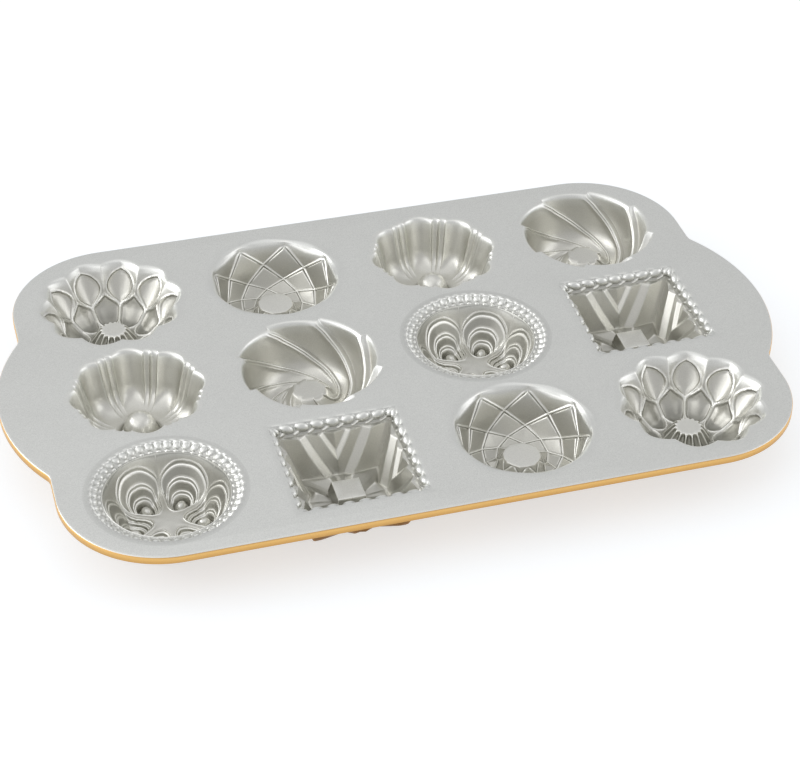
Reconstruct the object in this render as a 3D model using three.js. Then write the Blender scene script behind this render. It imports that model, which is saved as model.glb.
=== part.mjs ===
// A fluted cake pan: a flat deck with a lobed grip at each end and twelve moulded cups below it,
// in six designs that each come twice. Millimetres, +X along the pan, +Z up, the cups' feet at z = 0.

import * as THREE from 'three';

// Sizes shared by the whole pan.
const deckThickness = 4.2;
const wallThickness = 3;
const floorDepth = 26.8;
const lipDepth = 1.2;
const edgeRounding = 1.2;

// Half of each cup's mouth, at the deck's top face.
const petalMouth = 38.2;
const latticeMouth = 35.3;
const fluteMouth = 33.4;
const swirlMouth = 36.3;
const archMouth = 36.2;
const squareMouth = 31.7;
const largestMouth = Math.max(petalMouth, latticeMouth, fluteMouth, swirlMouth, archMouth, squareMouth);

// The web of deck left between two mouths of the largest size, and the deck around the outer cups.
const columnWeb = 11.6;
const rowWeb = 1;
const sideMargin = 8.9;
const endMargin = 13.4;
const cornerMargin = 13.6;

// The grip lobe at each end: how far it reaches out, half its width, and the round at its root.
const gripReach = 17;
const gripHalfWidth = 54.3;
const gripRootRadius = 8;

// Depth of each cup's middle below the deck's top, and how far the moulded relief stands out.
const petalMiddleDepth = 18.4;
const latticeMiddleDepth = 17.8;
const domeTopDepth = 15.4;
const swirlMiddleDepth = 17.8;
const starDepth = 21.5;
const blockTopDepth = 19.7;
const gableRelief = 4.4;
const leafRelief = 2;
const tileRelief = 1.2;
const wideFluteRelief = 3;
const narrowFluteRelief = 1.6;
const bladeRelief = 3;
const archRelief = 2;
const pleatRelief = 1.6;

// The cups stand in four columns and three rows; half the gaps between them lie on each side.
const columnGaps = 3;
const rowGaps = 2;

const deckTop = floorDepth + wallThickness;
const columnPitch = 2 * largestMouth + columnWeb;
const rowPitch = 2 * largestMouth + rowWeb;
const halfWidth = (rowGaps / 2) * rowPitch + largestMouth + sideMargin;
const bodyHalfLength = (columnGaps / 2) * columnPitch + largestMouth + endMargin;
const cornerRadius = largestMouth + cornerMargin;

const silver = 0xc4c8c6;

// Points of one round sector: a phase of 0 to 1 across the sector becomes a place on the circle.
function roundPlace(sectors, turnShare) {
  return (sector, phase, twist, radius) => {
    const angle = (2 * Math.PI * (sector + phase + turnShare + twist)) / sectors;
    return [radius * Math.cos(angle), radius * Math.sin(angle)];
  };
}

// Points of one side of a square: the phase runs from corner to corner.
function squarePlace(sector, phase, twist, half) {
  const angle = (Math.PI / 2) * sector;
  const along = (2 * phase - 1) * half;
  return [
    half * Math.cos(angle) - along * Math.sin(angle),
    half * Math.sin(angle) + along * Math.cos(angle),
  ];
}

const noRelief = () => 0;

// Gabled lobe: full at the sector's middle, nothing at its creases.
const gable = (phase) => 1 - 2 * Math.abs(phase - 0.5);

// The same lobe moved on by half a sector, for the lower row of leaves.
const gableBetween = (phase) => 2 * Math.abs(phase - 0.5);

// Round lobe with a sharp crease at each end of the sector.
const roundLobe = (phase) => Math.sqrt(1 - (2 * phase - 1) ** 2);

// Saw tooth: a blade that falls back along the sector and then steps out again.
const bladeStepShare = 0.94;
const sawTooth = (phase) => (phase <= bladeStepShare ? phase / bladeStepShare : 0);

// One wide flute, then a pair of narrow ones that share a ridge.
const wideFluteShare = 0.66;
const fluteEdgeShares = [0, wideFluteShare, (1 + wideFluteShare) / 2, 1];
const fluteReliefs = [wideFluteRelief, narrowFluteRelief, narrowFluteRelief];
function fluteBow(phase) {
  const flute = fluteEdgeShares.findIndex((edge) => edge > phase) - 1;
  const start = fluteEdgeShares[flute];
  const across = (phase - start) / (fluteEdgeShares[flute + 1] - start);
  return (fluteReliefs[flute] / wideFluteRelief) * 4 * across * (1 - across);
}

// Pleats that lean away from each corner of the square: ridges stand in, folds lie out.
const pleatFoldShares = [0, 0.235, 0.41, 0.5, 0.59, 0.765];
const pleatRidgeShares = [0.165, 0.355, 0.645, 0.835];
const pleat = (phase) => (pleatRidgeShares.includes(phase) ? -1 : 0);

const evenly = (count) => Array.from({ length: count }, (_, index) => index / count);

// Each ring of a cup is written as shares of its mouth and of the floor depth, from the wall down
// to the middle. relief is the shape of the moulding there and size how far it stands out.
const designs = {
  petal: {
    mouth: petalMouth - gableRelief,
    middleDepth: petalMiddleDepth,
    sectors: 10,
    place: roundPlace(10, -0.5),
    phases: evenly(4),
    mouthRelief: gable,
    mouthReliefSize: gableRelief,
    wall: [
      { radiusShare: 0.955, depthShare: 0.1, relief: gable, size: gableRelief },
      { radiusShare: 0.865, depthShare: 0.46, relief: gable, size: leafRelief },
      { radiusShare: 0.755, depthShare: 0.76, relief: gableBetween, size: leafRelief },
      { radiusShare: 0.63, depthShare: 0.92, relief: gableBetween, size: leafRelief },
      { radiusShare: 0.42, depthShare: 1, relief: noRelief, size: 0 },
      { radiusShare: 0.3, depthShare: 0.97, relief: noRelief, size: 0 },
    ],
    middleShare: 0.205,
  },
  lattice: {
    mouth: latticeMouth,
    middleDepth: latticeMiddleDepth,
    sectors: 8,
    place: roundPlace(8, 0.5),
    phases: evenly(5),
    mouthRelief: noRelief,
    mouthReliefSize: 0,
    wall: [
      { radiusShare: 0.94, depthShare: 0.07, relief: noRelief, size: 0 },
      { radiusShare: 0.835, depthShare: 0.46, relief: gable, size: tileRelief },
      { radiusShare: 0.745, depthShare: 0.755, relief: gableBetween, size: tileRelief },
      { radiusShare: 0.62, depthShare: 0.88, relief: gable, size: tileRelief },
      { radiusShare: 0.45, depthShare: 0.96, relief: noRelief, size: 0 },
      { radiusShare: 0.33, depthShare: 0.97, relief: noRelief, size: 0 },
    ],
    middleShare: 0.25,
  },
  flute: {
    mouth: fluteMouth - wideFluteRelief,
    middleDepth: domeTopDepth,
    sectors: 8,
    place: roundPlace(8, -wideFluteShare / 2),
    phases: [0, 0.165, 0.33, 0.495, wideFluteShare, 0.745, (1 + wideFluteShare) / 2, 0.915],
    mouthRelief: fluteBow,
    mouthReliefSize: wideFluteRelief,
    wall: [
      { radiusShare: 0.99, depthShare: 0.07, relief: fluteBow, size: wideFluteRelief },
      { radiusShare: 0.88, depthShare: 0.5, relief: fluteBow, size: wideFluteRelief },
      { radiusShare: 0.79, depthShare: 0.83, relief: fluteBow, size: wideFluteRelief },
      { radiusShare: 0.62, depthShare: 0.96, relief: fluteBow, size: narrowFluteRelief },
      { radiusShare: 0.41, depthShare: 1, relief: noRelief, size: 0 },
      { radiusShare: 0.28, depthShare: 0.95, relief: noRelief, size: 0 },
    ],
    middleShare: 0.2,
  },
  swirl: {
    mouth: swirlMouth - bladeRelief,
    middleDepth: swirlMiddleDepth,
    sectors: 8,
    place: roundPlace(8, 0.5),
    phases: [0, 0.235, 0.47, 0.705, bladeStepShare],
    mouthRelief: sawTooth,
    mouthReliefSize: bladeRelief,
    wall: [
      { radiusShare: 0.985, depthShare: 0.07, relief: sawTooth, size: bladeRelief },
      { radiusShare: 0.92, depthShare: 0.3, twistShare: -0.28, relief: sawTooth, size: bladeRelief },
      { radiusShare: 0.86, depthShare: 0.52, twistShare: -0.62, relief: sawTooth, size: bladeRelief },
      { radiusShare: 0.79, depthShare: 0.75, twistShare: -1.1, relief: sawTooth, size: bladeRelief },
      { radiusShare: 0.63, depthShare: 0.89, twistShare: -1.6, relief: sawTooth, size: leafRelief },
      { radiusShare: 0.44, depthShare: 0.97, twistShare: -2.1, relief: noRelief, size: 0 },
      { radiusShare: 0.34, depthShare: 0.96, twistShare: -2.4, relief: noRelief, size: 0 },
    ],
    middleShare: 0.26,
  },
  arch: {
    mouth: archMouth,
    middleDepth: starDepth,
    sectors: 6,
    place: roundPlace(6, -0.5),
    phases: evenly(8),
    mouthRelief: noRelief,
    mouthReliefSize: 0,
    wall: [
      { radiusShare: 0.835, depthShare: 0.11, relief: noRelief, size: 0 },
      { radiusShare: 0.76, depthShare: 0.35, relief: roundLobe, size: archRelief },
      { radiusShare: 0.69, depthShare: 0.6, relief: roundLobe, size: archRelief },
      { radiusShare: 0.6, depthShare: 0.84, relief: roundLobe, size: archRelief },
      { radiusShare: 0.46, depthShare: 1, relief: roundLobe, size: archRelief },
      { radiusShare: 0.3, depthShare: 0.95, relief: noRelief, size: 0 },
    ],
    middleShare: 0.17,
  },
  square: {
    mouth: squareMouth,
    middleDepth: blockTopDepth,
    sectors: 4,
    place: squarePlace,
    phases: [...pleatFoldShares, ...pleatRidgeShares].sort((a, b) => a - b),
    mouthRelief: noRelief,
    mouthReliefSize: 0,
    wall: [
      { radiusShare: 0.905, depthShare: 0.17, relief: noRelief, size: 0 },
      { radiusShare: 0.87, depthShare: 0.22, relief: pleat, size: pleatRelief },
      { radiusShare: 0.66, depthShare: 0.97, relief: pleat, size: pleatRelief },
      { radiusShare: 0.45, depthShare: 1, relief: noRelief, size: 0 },
      { radiusShare: 0.27, depthShare: 0.97, relief: noRelief, size: 0 },
    ],
    middleShare: 0.21,
  },
};

// The twelve cups as they lie in the deck, from the back row to the front and from left to right.
const rows = [
  ['petal', 'lattice', 'flute', 'swirl'],
  ['flute', 'swirl', 'arch', 'square'],
  ['arch', 'square', 'lattice', 'petal'],
];

// One closed loop of points around a cup, in the cup's own frame, with z = 0 at the deck's top.
function ringLoop(design, ring, extraRadius, depth) {
  const loop = [];
  for (let sector = 0; sector < design.sectors; sector += 1) {
    for (const phase of design.phases) {
      const bow = ring.relief(phase) * ring.size;
      const radius = design.mouth * ring.radiusShare + bow + extraRadius;
      const [x, y] = design.place(sector, phase, ring.twistShare ?? 0, radius);
      loop.push(new THREE.Vector3(x, y, -depth));
    }
  }
  return loop;
}

const mouthRing = (design) => (
  { radiusShare: 1, depthShare: 0, relief: design.mouthRelief, size: design.mouthReliefSize }
);

// The ring where a cup meets the deck's underside, between the two rings above and below it.
function seatRing(design) {
  const rings = [mouthRing(design), ...design.wall];
  const seatShare = deckThickness / floorDepth;
  const below = rings.findIndex((ring) => ring.depthShare > seatShare);
  const upper = rings[below - 1];
  const lower = rings[below];
  const blend = (seatShare - upper.depthShare) / (lower.depthShare - upper.depthShare);
  const mix = (a, b) => a + (b - a) * blend;
  return {
    radiusShare: mix(upper.radiusShare, lower.radiusShare),
    depthShare: seatShare,
    twistShare: mix(upper.twistShare ?? 0, lower.twistShare ?? 0),
    relief: (phase) => mix(upper.relief(phase) * upper.size, lower.relief(phase) * lower.size),
    size: 1,
  };
}

// The rounded lip of a mouth: a ring just below the deck's top, most of the way in to the seat.
const lipInShare = 0.62;
function lipRing(design) {
  const mouth = mouthRing(design);
  const seat = seatRing(design);
  const mix = (a, b) => a + (b - a) * lipInShare;
  return {
    radiusShare: mix(1, seat.radiusShare),
    relief: (phase) => mix(mouth.relief(phase) * mouth.size, seat.relief(phase)),
    size: 1,
  };
}

// Collects loops and faces into one closed geometry.
class SolidBuilder {
  constructor() {
    this.positions = [];
    this.faces = [];
  }

  addLoop(loop) {
    const first = this.positions.length / 3;
    loop.forEach((point) => this.positions.push(point.x, point.y, point.z));
    return loop.map((_, index) => first + index);
  }

  // Wall between two loops of equal length; it faces out when the loops run anticlockwise and
  // the first lies above the second.
  addWall(upper, lower) {
    upper.forEach((corner, index) => {
      const next = (index + 1) % upper.length;
      this.faces.push(corner, lower[index], lower[next]);
      this.faces.push(corner, lower[next], upper[next]);
    });
  }

  // Fan from a loop to a point on its axis.
  addFan(loop, height, facesUp) {
    const [centre] = this.addLoop([new THREE.Vector3(0, 0, height)]);
    loop.forEach((corner, index) => {
      const next = loop[(index + 1) % loop.length];
      this.faces.push(...(facesUp ? [corner, next, centre] : [next, corner, centre]));
    });
  }

  build() {
    const geometry = new THREE.BufferGeometry();
    geometry.setAttribute('position', new THREE.Float32BufferAttribute(this.positions, 3));
    geometry.setIndex(this.faces);
    geometry.computeVertexNormals();
    return geometry;
  }
}

// One cup: an inner face from the deck's underside to the middle, and an outer face that stands
// one wall outside it, with a flat foot ring and a hollow under the raised middle.
const footShare = 0.66;
function cupGeometry(design) {
  const solid = new SolidBuilder();
  const seat = seatRing(design);
  const inner = [seat, ...design.wall.filter((ring) => ring.depthShare > seat.depthShare)];
  const lastWall = inner[inner.length - 1];
  const middle = { ...lastWall, radiusShare: design.middleShare };
  const innerLoops = [
    ...inner.map((ring) => ringLoop(design, ring, 0, ring.depthShare * floorDepth)),
    ringLoop(design, middle, 0, design.middleDepth),
  ].map((loop) => solid.addLoop(loop));

  const shoulder = inner.find((ring) => ring.depthShare > footShare);
  const foot = inner[inner.length - 2];
  const outerLoops = [
    ...inner.filter((ring) => ring === shoulder || ring.depthShare <= footShare)
      .map((ring) => ringLoop(design, ring, wallThickness, ring.depthShare * floorDepth)),
    ringLoop(design, { ...foot, relief: shoulder.relief, size: 0 }, 2 * wallThickness, deckTop),
    ringLoop(design, lastWall, 0, deckTop),
    ringLoop(design, middle, -wallThickness, design.middleDepth + wallThickness),
  ].map((loop) => solid.addLoop(loop));

  for (let index = 1; index < innerLoops.length; index += 1) {
    solid.addWall(innerLoops[index], innerLoops[index - 1]);
  }
  solid.addFan(innerLoops[innerLoops.length - 1], -design.middleDepth, true);
  for (let index = 1; index < outerLoops.length; index += 1) {
    solid.addWall(outerLoops[index - 1], outerLoops[index]);
  }
  solid.addFan(outerLoops[outerLoops.length - 1], -design.middleDepth - wallThickness, false);
  solid.addWall(innerLoops[0], outerLoops[0]);
  return solid.build();
}

// The deck's outline, drawn in by an inset: straight long sides, round corners and a lobe at each
// end that meets the body in a hollow curve.
const arcSegments = 10;
function deckOutline(inset) {
  const lobeRadius = (gripHalfWidth ** 2 + gripReach ** 2) / (2 * gripReach);
  const lobeCentre = bodyHalfLength + gripReach - lobeRadius;
  const rootCentreX = bodyHalfLength + gripRootRadius;
  const rootCentreY = Math.sqrt((lobeRadius + gripRootRadius) ** 2 - (rootCentreX - lobeCentre) ** 2);
  const rootAngle = Math.atan2(rootCentreY, rootCentreX - lobeCentre);
  const cornerX = bodyHalfLength - cornerRadius;
  const cornerY = halfWidth - cornerRadius;
  const arc = (centreX, centreY, radius, from, to) => {
    const points = [];
    for (let step = 0; step <= arcSegments; step += 1) {
      const angle = from + ((to - from) * step) / arcSegments;
      points.push([centreX + radius * Math.cos(angle), centreY + radius * Math.sin(angle)]);
    }
    return points;
  };
  const quarter = [
    ...arc(lobeCentre, 0, lobeRadius - inset, 0, rootAngle),
    ...arc(rootCentreX, rootCentreY, gripRootRadius + inset, Math.PI + rootAngle, Math.PI).slice(1),
    ...arc(cornerX, cornerY, cornerRadius - inset, 0, Math.PI / 2),
  ];
  const mirrored = quarter.map(([x, y]) => [-x, y]).reverse();
  const back = [...quarter, ...mirrored];
  const front = back.slice(1, -1).map(([x, y]) => [x, -y]).reverse();
  return [...back, ...front].map(([x, y]) => new THREE.Vector2(x, y));
}

const atHeight = (outline, z) => outline.map((point) => new THREE.Vector3(point.x, point.y, z));

// A plate from stacks of loops: the first of each stack lies on the top face, the last below.
function plateGeometry(outerStack, holeStacks) {
  const solid = new SolidBuilder();
  const outer = outerStack.map((loop) => solid.addLoop(loop));
  const holes = holeStacks.map((stack) => stack.map((loop) => solid.addLoop(loop)));
  const addFace = (level, facesUp) => {
    const pick = (stack) => stack[level < 0 ? stack.length - 1 : level];
    const contour = pick(outerStack);
    const cuts = holeStacks.map((stack) => [...pick(stack)].reverse());
    const corners = [...pick(outer), ...holes.flatMap((stack) => [...pick(stack)].reverse())];
    THREE.ShapeUtils.triangulateShape(contour, cuts).forEach((face) => {
      const [a, b, c] = face.map((corner) => corners[corner]);
      solid.faces.push(...(facesUp ? [a, b, c] : [a, c, b]));
    });
  };
  addFace(0, true);
  addFace(-1, false);
  outer.slice(1).forEach((lower, index) => solid.addWall(outer[index], lower));
  holes.forEach((stack) => {
    stack.slice(1).forEach((lower, index) => solid.addWall(lower, stack[index]));
  });
  return solid.build();
}

const deckBottom = deckTop - deckThickness;

function cupCentre(row, column) {
  return new THREE.Vector3(
    (column - columnGaps / 2) * columnPitch,
    (rowGaps / 2 - row) * rowPitch,
    deckTop,
  );
}

function mouthStack(design, centre) {
  const levels = [
    [mouthRing(design), 0],
    [lipRing(design), lipDepth],
    [seatRing(design), deckThickness],
  ];
  return levels.map(([ring, depth]) => (
    ringLoop(design, ring, 0, depth).map((point) => point.add(centre))
  ));
}

function deckGeometry() {
  const outerStack = [
    atHeight(deckOutline(edgeRounding), deckTop),
    atHeight(deckOutline(0), deckTop - edgeRounding),
    atHeight(deckOutline(0), deckBottom),
  ];
  const holeStacks = rows.flatMap((names, row) => (
    names.map((name, column) => mouthStack(designs[name], cupCentre(row, column)))
  ));
  return plateGeometry(outerStack, holeStacks);
}

function metal() {
  return new THREE.MeshStandardMaterial({ color: silver, roughness: 0.4, metalness: 0.9 });
}

const pan = new THREE.Group();
pan.name = 'fluted_cake_pan';

const deck = new THREE.Mesh(deckGeometry(), metal());
deck.name = 'deck';
pan.add(deck);

const rowNames = ['back', 'middle', 'front'];
rows.forEach((names, row) => {
  names.forEach((name, column) => {
    const cup = new THREE.Mesh(cupGeometry(designs[name]), metal());
    cup.name = `${name}_cup_${rowNames[row]}_${column + 1}`;
    cup.position.copy(cupCentre(row, column));
    pan.add(cup);
  });
});

export default pan;
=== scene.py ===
import math

import bpy
import numpy as np
from mathutils import Matrix, Vector, geometry


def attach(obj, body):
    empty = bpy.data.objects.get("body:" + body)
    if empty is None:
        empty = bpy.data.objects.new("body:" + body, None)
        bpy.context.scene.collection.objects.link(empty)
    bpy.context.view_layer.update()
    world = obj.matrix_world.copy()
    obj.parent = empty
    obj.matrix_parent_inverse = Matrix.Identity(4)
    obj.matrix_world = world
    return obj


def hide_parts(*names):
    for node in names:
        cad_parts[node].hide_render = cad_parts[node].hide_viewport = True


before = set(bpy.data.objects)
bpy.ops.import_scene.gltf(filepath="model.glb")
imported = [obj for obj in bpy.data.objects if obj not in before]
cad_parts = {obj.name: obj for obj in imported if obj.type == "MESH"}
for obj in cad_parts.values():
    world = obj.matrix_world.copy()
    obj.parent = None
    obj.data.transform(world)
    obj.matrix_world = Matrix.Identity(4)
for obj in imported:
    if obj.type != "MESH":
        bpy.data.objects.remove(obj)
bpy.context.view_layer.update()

# Sizes are millimetres, and depths are measured down from the deck's top face.
MM = 0.001
DECK_TOP = 29.8
DECK_THICKNESS = 4.2
FOOT_DEPTH = DECK_TOP
WALL = 3.0
LIP = 3.2  # from the top of a cup's wall out to the hole in the deck
DISC_DEPTH = 17.7
COLUMN_PITCH, ROW_PITCH = 88.0, 77.4

# The deck's rounded edge: how far in from the outline and how deep each loop lies.
DECK_EDGE = ((1.5, 0), (1.0, 0.05), (0.6, 0.16), (0.3, 0.34), (0.1, 0.6),
             (0, 0.95), (0, 3.8), (0.06, 4.0), (0.18, 4.14), (0.4, 4.2))
GOLD_FROM_LOOP = 3  # the edge is silver above this loop and gold below it

# Relief is a point attribute from 1, a crest with a painted highlight, to -1, a crease with painted
# shade. Each design's own painted highlights and shade are added to it.
# Painted highlight on the flat crown in the middle of a cup.
CROWN_HIGHLIGHT = 0.65
# Painted shade over the outside of every cup, below the deck.
OUTSIDE_SHADE = -0.4

SHARP_ANGLE = math.radians(55)
EXTRA = 2  # columns past each side of a sector, for true slopes at its seams

LAYOUT = (
    ("back", ("petal", "lattice", "flute", "swirl")),
    ("middle", ("flute", "swirl", "arch", "square")),
    ("front", ("arch", "square", "lattice", "petal")),
)


# ---- camera, floor and light
def added(name, data):
    """A new object in the scene."""
    item = bpy.data.objects.new(name, data)
    bpy.context.collection.objects.link(item)
    return item


def set_inputs(node, values):
    """Plain values on a node's named inputs."""
    for label, value in values.items():
        node.inputs[label].default_value = value


def look_along(position, forward, right):
    """The matrix of a camera from its place and two of its directions."""
    forward, right = Vector(forward).normalized(), Vector(right).normalized()
    up = right.cross(forward).normalized()
    turn = Matrix((right, up, -forward)).transposed()
    return Matrix.Translation(position) @ turn.to_4x4()


def add_camera():
    """The photo's camera, solved from the mouths of the twelve cups."""
    lens = bpy.data.cameras.new("product_camera")
    lens.sensor_width, lens.lens, lens.clip_end = 36.0, 94.2, 20.0
    camera = added("product_camera", lens)
    camera.matrix_world = look_along(
        position=(-0.23487, -0.81679, 0.64554 + DECK_TOP * MM),
        forward=(0.21994, 0.75275, -0.62047),
        right=(0.96211, -0.27244, 0.01052),
    )
    bpy.context.scene.camera = camera


def add_softbox(name, place, size, watts):
    """A rectangular lamp that faces the middle of the floor."""
    data = bpy.data.lights.new(name, "AREA")
    data.shape = "RECTANGLE"
    data.size, data.size_y = size
    data.energy = watts
    turn = (-Vector(place)).to_track_quat("-Z", "Y").to_matrix().to_4x4()
    added(name, data).matrix_world = Matrix.Translation(place) @ turn


def add_studio():
    """A pale floor and sky with soft lamps, the largest of them on the left."""
    view = bpy.context.scene.view_settings
    view.view_transform, view.look = "Standard", "None"
    world = bpy.data.worlds.new("studio")
    bpy.context.scene.world = world
    world.use_nodes = True
    set_inputs(world.node_tree.nodes["Background"], {"Color": (1, 1, 1, 1), "Strength": 0.6})
    paper = bpy.data.materials.new("studio_paper")
    paper.use_nodes = True
    set_inputs(paper.node_tree.nodes["Principled BSDF"], {
        "Base Color": (0.46, 0.50, 0.54, 1), "Roughness": 0.9,
        "Emission Color": (1, 1, 1, 1), "Emission Strength": 0.63,
    })
    bpy.ops.mesh.primitive_plane_add(size=12, location=(0, 0, 0))
    floor = bpy.context.object
    floor.name = "studio_floor"
    floor.data.materials.append(paper)
    add_softbox("key_softbox", (-1.4, 0.5, 0.8), (0.9, 0.9), 4)
    add_softbox("left_softbox", (-2.3, 0.2, 1.1), (3.2, 2.0), 15.5)
    add_softbox("top_softbox", (-0.2, 0.3, 1.9), (2.0, 2.0), 3)
    add_softbox("left_front_softbox", (-1.1, -0.8, 1.6), (1.3, 1.3), 2.5)
    add_softbox("right_softbox", (1.7, -0.5, 1.0), (1.6, 1.3), 5)


# ---- finishes
def coat(name, colour, deep_shade_colour, highlight_colour, roughness, grain, blotch):
    """A satin non-stick coat over cast metal: fine grain, soft mottling, and painted shade, a darker and
    warmer tone deep in a cup and below the deck.

    The mesh's relief attribute paints a highlight on crests in the highlight colour and paints shade
    into the creases beside them.
    """
    material = bpy.data.materials.new(name)
    material.use_nodes = True
    tree = material.node_tree
    shader = tree.nodes["Principled BSDF"]
    place = tree.nodes.new("ShaderNodeTexCoord").outputs["Object"]

    def noise(scale, detail):
        node = tree.nodes.new("ShaderNodeTexNoise")
        set_inputs(node, {"Scale": scale, "Detail": detail})
        tree.links.new(place, node.inputs["Vector"])
        return node.outputs["Fac"]

    def spread(source, low, high, start=0.3, stop=0.7):
        node = tree.nodes.new("ShaderNodeMapRange")
        set_inputs(node, {"From Min": start, "From Max": stop, "To Min": low, "To Max": high})
        tree.links.new(source, node.inputs["Value"])
        return node.outputs["Result"]

    def mixed(factor, one, two, how="MIX"):
        node = tree.nodes.new("ShaderNodeMix")
        node.data_type, node.blend_type = "RGBA", how
        for socket, value in (("Factor", factor), ("A", one), ("B", two)):
            if isinstance(value, bpy.types.NodeSocket):
                tree.links.new(value, node.inputs[socket])
            else:
                node.inputs[socket].default_value = value
        return node.outputs["Result"]

    fine, broad = noise(scale=2600, detail=2), noise(scale=45, detail=4)
    height = tree.nodes.new("ShaderNodeSeparateXYZ")
    tree.links.new(place, height.inputs[0])
    relief = tree.nodes.new("ShaderNodeAttribute")
    relief.attribute_name = "relief"
    # Painted shade: the tone darkens towards the deep colour below the deck's top.
    deep = spread(height.outputs["Z"], 1, 0, start=(DECK_TOP - 7) * MM, stop=(DECK_TOP - 0.6) * MM)
    tone = mixed(deep, (*colour, 1), (*deep_shade_colour, 1))
    # Painted highlight on crests, then painted shade in creases, both from the relief attribute.
    tone = mixed(spread(relief.outputs["Fac"], 0, 1, start=0, stop=1), tone, (*highlight_colour, 1))
    crease_shade = (0.4, 0.4, 0.38, 1)
    tone = mixed(spread(relief.outputs["Fac"], 0, 1, start=0, stop=-1), tone, crease_shade, "MULTIPLY")
    speck = mixed(spread(fine, 0, 1), (1 - blotch,) * 3 + (1,), (1 + blotch,) * 3 + (1,))
    tree.links.new(mixed(1.0, tone, speck, "MULTIPLY"), shader.inputs["Base Color"])
    tree.links.new(spread(broad, roughness - 0.03, roughness + 0.03), shader.inputs["Roughness"])
    bump = tree.nodes.new("ShaderNodeBump")
    set_inputs(bump, {"Strength": grain, "Distance": 0.1 * MM})
    tree.links.new(fine, bump.inputs["Height"])
    tree.links.new(bump.outputs["Normal"], shader.inputs["Normal"])
    set_inputs(shader, {"Metallic": 1.0})
    return material


# ---- walls as rows of points
def rounded_rows(corners, cuts, legs, bends):
    """Rows of points along a path of straight legs whose corners are rounded off.

    Each corner is an array with one line per column: radius, depth, then anything that rides along.
    Cuts say how far a bend reaches along its legs, legs and bends how many rows each of them gets.
    """
    rows = [corners[0][None]]
    start = corners[0]
    for k in range(1, len(corners) - 1):
        here, back, ahead = corners[k], corners[k - 1] - corners[k], corners[k + 1] - corners[k]
        enter = here + back * share_of(back, cuts[k - 1])
        leave = here + ahead * share_of(ahead, cuts[k - 1])
        step = np.linspace(0, 1, legs[k - 1] + 1)[1:, None, None]
        rows.append(start + (enter - start) * step)
        if bends[k - 1]:
            step = np.linspace(0, 1, bends[k - 1] + 1)[1:, None, None]
            rows.append((1 - step) ** 2 * enter + 2 * step * (1 - step) * here + step**2 * leave)
        start = leave
    step = np.linspace(0, 1, legs[-1] + 1)[1:, None, None]
    rows.append(start + (corners[-1] - start) * step)
    return np.concatenate(rows)


def share_of(leg, cut):
    """The part of a leg that a bend takes, just under half of it at most."""
    length = np.maximum(np.hypot(leg[:, 0], leg[:, 1]), 1e-6)
    return np.minimum(cut / length, 0.49)[:, None]


def thickened(corners):
    """Corners of the outside of a wall, one wall thickness away from its inside corners."""
    sides = []
    for before, after in zip(corners, corners[1:]):
        along, down = (after[:, :2] - before[:, :2]).T
        sides.append(np.stack([down, -along], 1) / np.maximum(np.hypot(along, down), 1e-6)[:, None])
    least_lean = 0.45
    moved = []
    for k, corner in enumerate(corners):
        one, two = sides[max(k - 1, 0)], sides[min(k, len(sides) - 1)]
        lean = 1 + (one * two).sum(1)
        shift = (one + two) / np.maximum(lean, least_lean)[:, None] * WALL
        out = corner.copy()
        out[:, :2] += shift
        moved.append(out)
    return moved


def below_deck(outline, outside):
    """Starts the outside at the deck's underside: the outline, then the wall's own first corner."""
    top, next_corner = outside[0], outside[1]
    fall = (DECK_THICKNESS - top[:, 1]) / (next_corner[:, 1] - top[:, 1])
    join = top + (next_corner - top) * fall[:, None]
    edge = join.copy()
    edge[:, 0] = outline
    edge[:, 1] = DECK_THICKNESS
    return [edge, join, *outside[1:]]


def outside_rows(corners, cuts, legs, bends):
    """Rounded rows of a cup's outside, cut off flat at the foot."""
    rows = rounded_rows(corners, cuts, legs, bends)
    rows[:, :, 1] = np.minimum(rows[:, :, 1], FOOT_DEPTH)
    return rows


def in_space(rows, angles):
    """Radius and depth rows placed round the cup's middle."""
    turn = np.radians(angles)
    radius, depth = rows[..., 0], rows[..., 1]
    return np.stack([radius * np.cos(turn), radius * np.sin(turn), -depth], -1)


def bearings(points):
    """Angles round the cup's middle, in degrees."""
    return np.degrees(np.arctan2(points[..., 1], points[..., 0]))


def facing(points):
    """Unit normals of a grid of points, on the side that looks into the cup."""
    down, along = np.gradient(points, axis=0), np.gradient(points, axis=1)
    normal = np.cross(along, down)
    return normal / np.maximum(np.linalg.norm(normal, axis=-1), 1e-9)[..., None]


def softened(field, times):
    """A grid averaged with its neighbours, down and across, that keeps its ends in each direction."""
    for _ in range(times):
        for axis in (0, 1):
            before, after = np.roll(field, 1, axis), np.roll(field, -1, axis)
            mean = (before + 2 * field + after) / 4
            inner = [slice(None)] * field.ndim
            inner[axis] = slice(1, -1)
            field = field.copy()
            field[tuple(inner)] = mean[tuple(inner)]
    return field


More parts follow.
